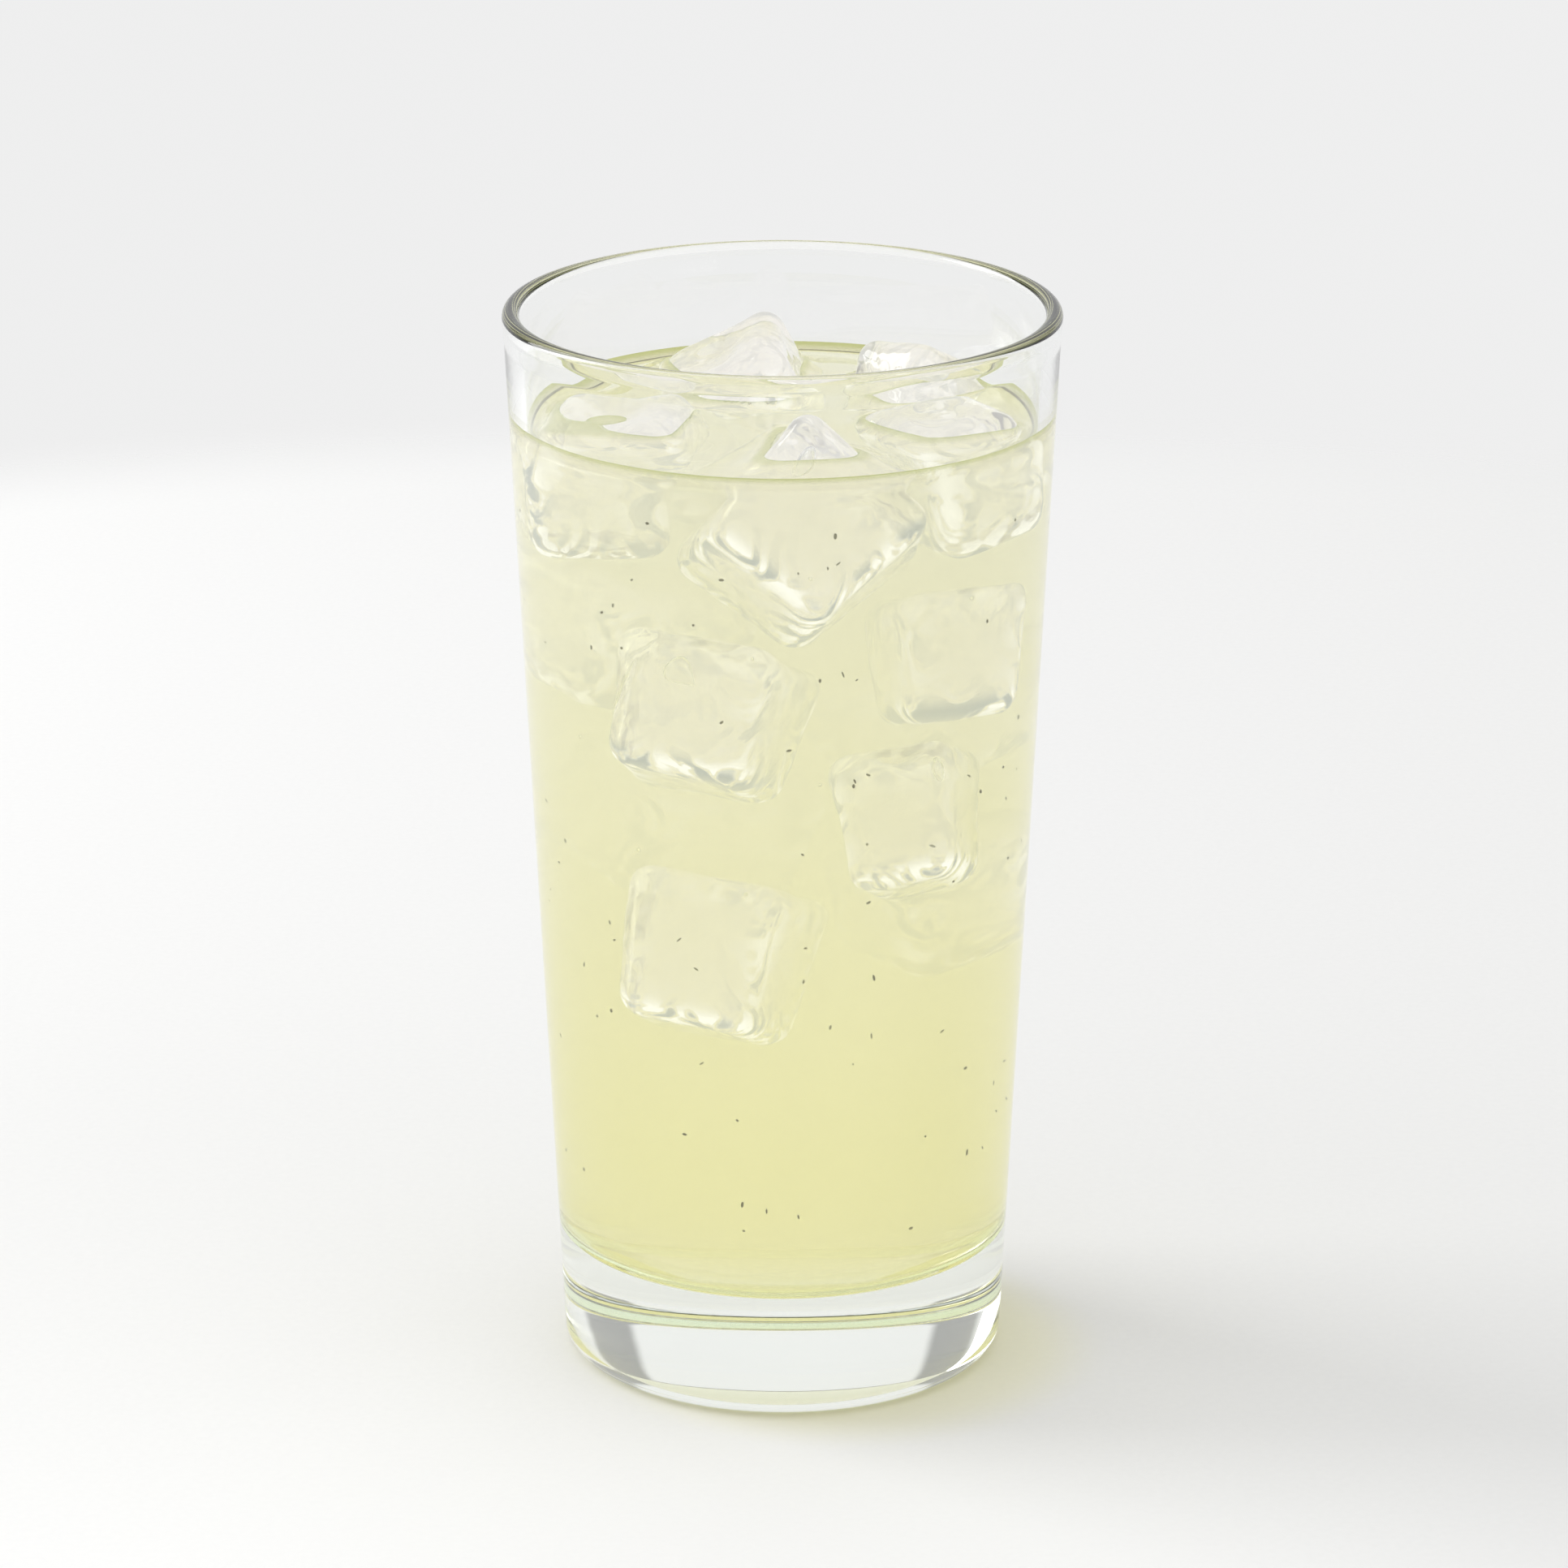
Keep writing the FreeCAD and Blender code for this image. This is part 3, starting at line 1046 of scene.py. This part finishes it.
@dataclass
class IceCharge:
    """All the ice: what floats stands for the CAD cubes, what is sunk is added here."""

    cubes: list[IceCube] = field(default_factory=list)

    def add(self, name: str, block: Sequence[float], centre: Sequence[float],
            turns: Sequence[float], node: str | None = None, pockets: Sequence[AirPocket] = ()) -> None:
        """Add a cube.

        Args:
            name: The piece's name.
            block: Its side and height, in millimetres.
            centre: Its centre, in millimetres.
            turns: Yaw, tilt and roll, in degrees.
            node: The CAD node that it stands for, if it floats.
            pockets: The bubbles in it.
        """
        cube = IceCube(name, block[0] * MM, block[1] * MM, Vector(centre) * MM, *turns,
                       len(self.cubes), node, pockets=pockets)
        self.cubes.append(cube)

    def fill(self) -> None:
        """Place every cube: first those that break the surface, then the sunk ones."""
        oval = AirPocket((-5.2, -9.6, 3.6), (1.3, 0.8, 3.2), -20.0)
        self.add("ice_front_cube", (22.0, 22.0), (2.4, -18.8, 124.6), (14, -28, 47), "ice_front", [oval])
        self.add("ice_right_cube", (18.0, 17.0), (21.3, -4.9, 128.8), (34, 3, -8), "ice_right")
        self.add("ice_back_right_cube", (16.0, 16.0), (18.2, 15.8, 131.8), (40, -8, 28), "ice_back_right")
        self.add("ice_back_cube", (19.5, 17.5), (-5.2, 20.8, 131.0), (2, 9, -30), "ice_back")
        self.add("ice_left_cube", (20.0, 18.0), (-21.4, -2.8, 128.2), (-8, 7, -8), "ice_left")
        leaf = AirPocket((-8.2, -6.0, 1.0), (0.5, 1.3, 4.2), 10.0, 0.3)
        wedge = AirPocket((-0.5, -9.0, 4.0), (2.4, 0.4, 1.6), 35.0, 0.8)
        self.add("ice_middle_left", (20.5, 20.0), (-9.2, -15.8, 98.8), (-24, -24, 4), None, [leaf, wedge])
        self.add("ice_upper_right", (18.5, 18.5), (19.4, -7.4, 105.0), (24, -14, 3))
        speck = AirPocket((6.0, -6.6, 5.0), (0.8, 0.5, 1.8), -10.0)
        self.add("ice_lower_right", (16.5, 20.0), (14.6, -13.6, 83.2), (-8, -22, -12), None, [speck])
        self.add("ice_lower_left", (20.5, 22.0), (-8.2, -14.2, 64.0), (-22, -20, 5))
        self.add("ice_deep_left", (19.5, 19.0), (-15.0, 10.5, 104.0), (24, 12, 14))
        self.add("ice_deep_right", (18.0, 18.0), (12.5, 15.0, 92.0), (-30, 14, -20))
        self.add("ice_deep_middle", (19.0, 20.0), (-7.5, 15.4, 77.0), (12, 18, 8))
        self.add("ice_deep_low", (18.0, 18.0), (15.0, 9.0, 66.5), (35, 10, -12))

    def build(self, finish: bpy.types.Material) -> list[bpy.types.Object]:
        """Make every cube."""
        return [cube.build(finish) for cube in self.cubes]


@dataclass
class Drink:
    """The lemonade: fills the bore, climbs the wall and the ice a little, hollow round ice."""

    tumbler: Tumbler
    ice: IceCharge
    level: float
    bite: float = 0.12 * MM
    climb: float = 1.5 * MM
    climb_reach: float = 3.4 * MM
    ice_climb: float = 1.1 * MM
    ice_reach: float = 1.6 * MM
    cavity_gap: float = 0.07 * MM
    joint_climb: float = 0.9
    arc_steps: int = 12
    spacing: float = 3.0 * MM
    segments: int = 288
    rings: int = 100

    def wall(self) -> list[Point2]:
        """The outline up the bore, from the floor's middle to the contact line.

        Returns:
            Its points as (radius, height).
        """
        glass = self.tumbler
        contact = self.level + self.climb
        corners = [
            (0.0, glass.floor_height - self.bite),
            (glass.bore_foot + self.bite, glass.floor_height - self.bite),
            (glass.bore(contact) + self.bite, contact),
        ]
        radii = [0, glass.floor_corner, 0]
        return even_path(rounded_path(corners, radii, self.arc_steps), self.spacing)

    def surface_height(self, radius: float, ice_distance: float) -> float:
        """How high the surface stands over a point.

        Args:
            radius: Distance from the axis.
            ice_distance: Distance to the nearest floating ice, at the level.

        Returns:
            The height in metres.
        """
        from_wall = self.tumbler.bore(self.level + self.climb) + self.bite - radius
        climb = 0.0
        if from_wall < self.climb_reach:
            curl = (self.climb_reach**2 + self.climb**2) / (2 * self.climb)
            climb = curl - math.sqrt(curl**2 - (self.climb_reach - from_wall) ** 2)
        lift = self.ice_climb * math.exp(-ice_distance / self.ice_reach)
        return self.level + max(climb, lift, math.hypot(climb, lift) * self.joint_climb)

    @staticmethod
    def clear_of(tree: BVHTree, spot: Vector) -> float:
        """How far a point lies outside a cube's skin; nothing for a point inside it."""
        place, normal, _, distance = tree.find_nearest(spot)
        return distance if (spot - place).dot(normal) > 0 else 0.0

    def build_mesh(self) -> bpy.types.Mesh:
        """The drink before the ice is cut from it.

        Returns:
            The mesh, closed, with its faces outwards.
        """
        trees = [BVHTree.FromPolygons([v.co for v in m.vertices], [p.vertices[:] for p in m.polygons])
                 for m in (cube.build_mesh(self.cavity_gap) for cube in self.ice.cubes if cube.node)]
        wall = self.wall()
        rim = wall[-1][0]
        radii = [rim * step / self.rings for step in range(self.rings, 0, -1)]
        verts: list[tuple[float, float, float]] = [(0, 0, wall[0][1])]
        turns = [math.tau * step / self.segments for step in range(self.segments)]
        for radius, height in wall[1:]:
            verts += [(radius * math.cos(t), radius * math.sin(t), height) for t in turns]
        for radius in radii[1:]:
            for t in turns:
                spot = Vector((radius * math.cos(t), radius * math.sin(t), self.level))
                near = min(self.clear_of(tree, spot) for tree in trees)
                verts.append((spot.x, spot.y, self.surface_height(radius, near)))
        verts.append((0, 0, self.level))
        rows = len(wall) - 1 + len(radii) - 1
        count = self.segments
        faces = [(0, 1 + (s + 1) % count, 1 + s) for s in range(count)]
        for row in range(rows - 1):
            base = 1 + row * count
            faces += [(base + s, base + (s + 1) % count, base + count + (s + 1) % count, base + count + s)
                      for s in range(count)]
        last = 1 + (rows - 1) * count
        faces += [(last + s, last + (s + 1) % count, len(verts) - 1) for s in range(count)]
        mesh = bpy.data.meshes.new("lemonade_whole")
        mesh.from_pydata(verts, [], faces)
        face_outwards(mesh)
        return mesh

    def cut_round_ice(self, body: bpy.types.Object) -> None:
        """Cut the hollows that the ice leaves, each a little smaller than its cube.

        Args:
            body: The drink's object.
        """
        work = bmesh.new()
        for cube in self.ice.cubes:
            hollow = cube.build_mesh(self.cavity_gap)
            work.from_mesh(hollow)
        joined = bpy.data.meshes.new("ice_hollows")
        work.to_mesh(joined)
        work.free()
        cutter = new_object("ice_hollows", joined)
        modifier = body.modifiers.new("hollows", "BOOLEAN")
        modifier.operation = "DIFFERENCE"
        modifier.solver = "EXACT"
        modifier.object = cutter
        shown = body.evaluated_get(bpy.context.evaluated_depsgraph_get())
        mesh = bpy.data.meshes.new_from_object(shown)
        body.modifiers.clear()
        body.data = mesh
        bpy.data.objects.remove(cutter)

    def build(self, finish: bpy.types.Material) -> bpy.types.Object:
        """Make the drink and let it stand for its CAD node.

        Args:
            finish: The drink's material.

        Returns:
            The piece.
        """
        body = new_object("lemonade_body", self.build_mesh())
        self.cut_round_ice(body)
        dress(body, finish)
        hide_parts("lemonade")
        return body


def strewn_group() -> bpy.types.NodeTree:
    """A Geometry Nodes tree that strews small grains through the round body of the drink.

    Returns:
        The tree; an inner share above nothing keeps the grains out near the wall.
    """
    name = "strewn_grains"
    if name in bpy.data.node_groups:
        return bpy.data.node_groups[name]
    inputs = [
        ("Start", "NodeSocketGeometry", None),
        ("Count", "NodeSocketInt", 40),
        ("Seed", "NodeSocketInt", 1),
        ("Inner share", "NodeSocketFloat", 0.6),
        ("Foot radius", "NodeSocketFloat", 0.027),
        ("Lean", "NodeSocketFloat", 0.05),
        ("Lowest", "NodeSocketFloat", 0.02),
        ("Highest", "NodeSocketFloat", 0.13),
        ("Smallest", "NodeSocketVector", (1e-4, 1e-4, 1e-4)),
        ("Largest", "NodeSocketVector", (3e-4, 2e-4, 2e-4)),
        ("Hollow", "NodeSocketBool", False),
        ("Finish", "NodeSocketMaterial", None),
    ]
    wiring = new_group(name, "GeometryNodeTree", inputs, [("Geometry", "NodeSocketGeometry")])
    given = wiring.source.outputs

    def chance(low: object, high: object, offset: int, kind: str = "FLOAT") -> bpy.types.NodeSocket:
        """A number or a vector that differs from grain to grain.

        Args:
            low: The least.
            high: The most.
            offset: What is added to the tree's seed, so that draws differ.
            kind: "FLOAT" or "FLOAT_VECTOR".

        Returns:
            The draw's socket.
        """
        pick = wiring.add("FunctionNodeRandomValue", {"data_type": kind})
        first = 0 if kind == "FLOAT_VECTOR" else 2
        wiring.feed(pick.inputs[first], low)
        wiring.feed(pick.inputs[first + 1], high)
        wiring.feed(pick.inputs["Seed"], wiring.math("ADD", given["Seed"], offset))
        return pick.outputs[0 if kind == "FLOAT_VECTOR" else 1]

    bearing = chance(0.0, math.tau, 11)
    least = wiring.math("POWER", given["Inner share"], 2.0)
    share = wiring.math("SQRT", chance(least, 1.0, 23))
    height = chance(given["Lowest"], given["Highest"], 37)
    rise = wiring.math("SUBTRACT", height, given["Lowest"])
    radius = wiring.math("ADD", given["Foot radius"], wiring.math("MULTIPLY", given["Lean"], rise))
    reach = wiring.math("MULTIPLY", share, radius)
    across = wiring.math("MULTIPLY", reach, wiring.math("COSINE", bearing))
    along = wiring.math("MULTIPLY", reach, wiring.math("SINE", bearing))
    place = wiring.add("ShaderNodeCombineXYZ", X=across, Y=along, Z=height)
    points = wiring.add("GeometryNodePoints", Count=given["Count"], Position=place.outputs[0])
    grain = wiring.add("GeometryNodeMeshIcoSphere", Radius=1.0, Subdivisions=3)
    strewn = wiring.add("GeometryNodeInstanceOnPoints", Points=points.outputs[0])
    wiring.feed(strewn.inputs["Instance"], grain.outputs["Mesh"])
    wiring.feed(strewn.inputs["Rotation"], chance((0, 0, 0), (math.tau,) * 3, 41, "FLOAT_VECTOR"))
    wiring.feed(strewn.inputs["Scale"], chance(given["Smallest"], given["Largest"], 53, "FLOAT_VECTOR"))
    realised = wiring.add("GeometryNodeRealizeInstances", Geometry=strewn.outputs[0])
    turned = wiring.add("GeometryNodeFlipFaces", Mesh=realised.outputs[0], Selection=given["Hollow"])
    smooth = wiring.add("GeometryNodeSetShadeSmooth", Geometry=turned.outputs[0])
    dressed = wiring.add("GeometryNodeSetMaterial", Geometry=smooth.outputs[0])
    wiring.feed(dressed.inputs["Material"], given["Finish"])
    wiring.feed(wiring.sink.inputs["Geometry"], dressed.outputs[0])
    return wiring.tree


@dataclass
class Pulp:
    """Shreds of lemon flesh afloat in the drink, and a few air bubbles near its wall."""

    drink: Drink
    shreds: int = 150
    bubbles: int = 26
    margin: float = 0.75 * MM
    lowest: float = 0.024
    lean_run: float = 0.1

    def strew(self, name: str, finish: bpy.types.Material, values: dict) -> bpy.types.Object:
        """Strew one kind of grain.

        Args:
            name: The piece's name.
            finish: Its material.
            values: Socket names of the tree and their values.

        Returns:
            The piece, all its grains in one mesh.
        """
        foot = self.drink.tumbler.bore(self.lowest)
        reach = {
            "Foot radius": foot - self.margin,
            "Lean": (self.drink.tumbler.bore(self.lowest + self.lean_run) - foot) / self.lean_run,
            "Lowest": self.lowest,
            "Finish": finish,
        }
        start = bpy.data.meshes.new(name + "_start")
        grains = grown(name, start, strewn_group(), {**reach, **values})
        dress(grains, finish)
        return grains

    def build(self) -> list[bpy.types.Object]:
        """Make the shreds and the bubbles.

        Returns:
            The two pieces.
        """
        shreds = {
            "Count": self.shreds,
            "Seed": 5,
            "Inner share": 0.88,
            "Highest": self.drink.level - 2 * MM,
            "Smallest": (0.16 * MM, 0.10 * MM, 0.09 * MM),
            "Largest": (0.50 * MM, 0.24 * MM, 0.20 * MM),
        }
        bubbles = {
            "Count": self.bubbles,
            "Seed": 9,
            "Inner share": 0.97,
            "Lowest": self.drink.level - 60 * MM,
            "Highest": self.drink.level - 3 * MM,
            "Smallest": (0.20 * MM,) * 3,
            "Largest": (0.36 * MM,) * 3,
            "Hollow": True,
        }
        return [self.strew("lemon_shreds", LemonShred().build(), shreds),
                self.strew("air_bubbles", AirBubble().build(), bubbles)]


# ---------------------------------------------------------------------------------------
# Studio
# ---------------------------------------------------------------------------------------


@dataclass
class Studio:
    """Table top, soft light all round and the camera."""

    floor_radius: float = 0.55
    camera_distance: float = 0.9062
    camera_height: float = 0.3834
    camera_pitch: float = 18.39
    lens: float = 158.4
    wall_tone: float = 0.86
    air_tone: float = 0.90
    air_colour: Colour = (1.0, 1.0, 1.0, 1.0)
    gap_tone: float = 0.40
    gap_bearing: tuple[float, ...] = (30.0, 34.0, 50.0, 56.0)
    gap_rise: tuple[float, ...] = (4.0, 8.0, 38.0, 48.0)
    front_tone: float = 0.75
    front_bearing: tuple[float, ...] = (125.0, 150.0, 181.0, 182.0)
    front_rise: tuple[float, ...] = (5.0, 15.0, 50.0, 65.0)
    sky_rise: tuple[float, ...] = (0.0, 3.0, 91.0, 92.0)
    key_place: tuple[float, float, float] = (-0.95, 0.30, 0.62)
    key_size: tuple[float, float] = (0.7, 0.7)
    key_power: float = 6.0

    def add_floor(self) -> None:
        """A round table top."""
        work = bmesh.new()
        bmesh.ops.create_circle(work, cap_ends=True, segments=96, radius=self.floor_radius)
        mesh = bpy.data.meshes.new("table_top")
        work.to_mesh(mesh)
        work.free()
        floor = new_object("table_top", mesh)
        floor.data.materials.append(PaleFloor().build())

    def add_world(self) -> None:
        """Pale light all round, with a dim gap on each side of the backdrop and a dim front."""
        world = bpy.data.worlds.new("studio_air")
        bpy.context.scene.world = world
        world.use_nodes = True
        world.node_tree.nodes.clear()
        wiring = Wiring(world.node_tree)
        way = wiring.add("ShaderNodeTexCoord").outputs["Generated"]
        apart = wiring.add("ShaderNodeSeparateXYZ", Vector=way)
        flat = wiring.math("ARCTAN2", wiring.math("ABSOLUTE", apart.outputs["X"]), apart.outputs["Y"])
        rise = wiring.math("ARCSINE", apart.outputs["Z"])
        gap = wiring.math("MULTIPLY", self.band(wiring, flat, self.gap_bearing),
                          self.band(wiring, rise, self.gap_rise))
        front = wiring.math("MULTIPLY", self.band(wiring, flat, self.front_bearing),
                            self.band(wiring, rise, self.front_rise))
        tone = wiring.math("MULTIPLY_ADD", gap, self.gap_tone - self.air_tone, self.air_tone)
        tone = wiring.math("MULTIPLY_ADD", front, self.front_tone - self.air_tone, tone)
        above = self.band(wiring, rise, self.sky_rise)
        tone = wiring.math("ADD", wiring.math("MULTIPLY", above, tone),
                           wiring.math("MULTIPLY", wiring.math("SUBTRACT", 1.0, above), self.wall_tone))
        air = wiring.add("ShaderNodeBackground", Color=self.air_colour, Strength=tone)
        wiring.add("ShaderNodeOutputWorld", Surface=air.outputs[0])

    @staticmethod
    def band(wiring: Wiring, angle: bpy.types.NodeSocket,
             limits: Sequence[float]) -> bpy.types.NodeSocket:
        """A soft mask that is one between the middle two of four angles, in degrees.

        Args:
            wiring: The tree's wiring.
            angle: The angle's socket, in radians.
            limits: Where the mask starts to rise, is full, starts to fall and is gone.

        Returns:
            The mask's socket.
        """
        sides = [wiring.span(angle, math.radians(start), math.radians(end))
                 for start, end in (limits[:2], (limits[3], limits[2]))]
        return wiring.math("MULTIPLY", *sides)

    def add_light(self, name: str, place: Sequence[float], size: tuple[float, float], power: float,
                  aim: Sequence[float] = (0, 0, 0.07)) -> None:
        """A soft rectangular light.

        Args:
            name: The light's name.
            place: Its centre.
            size: Its width and height.
            power: Its power in watts.
            aim: The point that it faces.
        """
        lamp = bpy.data.lights.new(name, "AREA")
        lamp.shape = "RECTANGLE"
        lamp.size, lamp.size_y = size
        lamp.energy = power
        thing = bpy.data.objects.new(name, lamp)
        thing.location = place
        thing.rotation_mode = "QUATERNION"
        thing.rotation_quaternion = (Vector(aim) - Vector(place)).to_track_quat("-Z", "Y")
        bpy.context.scene.collection.objects.link(thing)

    def add_camera(self) -> None:
        """The camera at the viewing angle."""
        lens = bpy.data.cameras.new("viewer")
        lens.lens = self.lens
        lens.sensor_width = 36.0
        lens.clip_start = 0.05
        lens.clip_end = 20.0
        viewer = bpy.data.objects.new("viewer", lens)
        viewer.location = (0.0002, -self.camera_distance, self.camera_height)
        viewer.rotation_euler = (math.radians(90 - self.camera_pitch), 0, 0)
        bpy.context.scene.collection.objects.link(viewer)
        bpy.context.scene.camera = viewer

    def build(self) -> None:
        """Set the stage, its lights and the camera."""
        self.add_floor()
        self.add_world()
        self.add_light("key_left", self.key_place, self.key_size, self.key_power)
        self.add_camera()
        scene = bpy.context.scene
        scene.view_settings.view_transform = "Standard"
        scene.cycles.max_bounces = 48
        scene.cycles.transmission_bounces = 32
        scene.cycles.glossy_bounces = 8
        scene.cycles.diffuse_bounces = 4
        scene.cycles.volume_bounces = 8
        scene.cycles.transparent_max_bounces = 16


def main() -> None:
    """Build the glass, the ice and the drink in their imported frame, then the studio."""
    logging.basicConfig(level=logging.INFO, format="%(message)s")
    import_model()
    _, ice_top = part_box("ice_back")
    _, drink_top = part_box("lemonade")
    tumbler = Tumbler.from_frame()
    level = drink_top.z - Drink.climb
    LOG.info("level %.2f mm, highest ice %.2f mm", level / MM, ice_top.z / MM)
    charge = IceCharge()
    charge.fill()
    drink = Drink(tumbler, charge, level)
    made = [
        tumbler.build(ClearGlass().build()),
        drink.build(CloudyLemonade().build()),
        *charge.build(WetIce().build()),
        *Pulp(drink).build(),
    ]
    for piece in made:
        LOG.info("%s: %d faces", piece.name, len(piece.data.polygons))
    Studio().build()


if __name__ == "__main__":
    main()
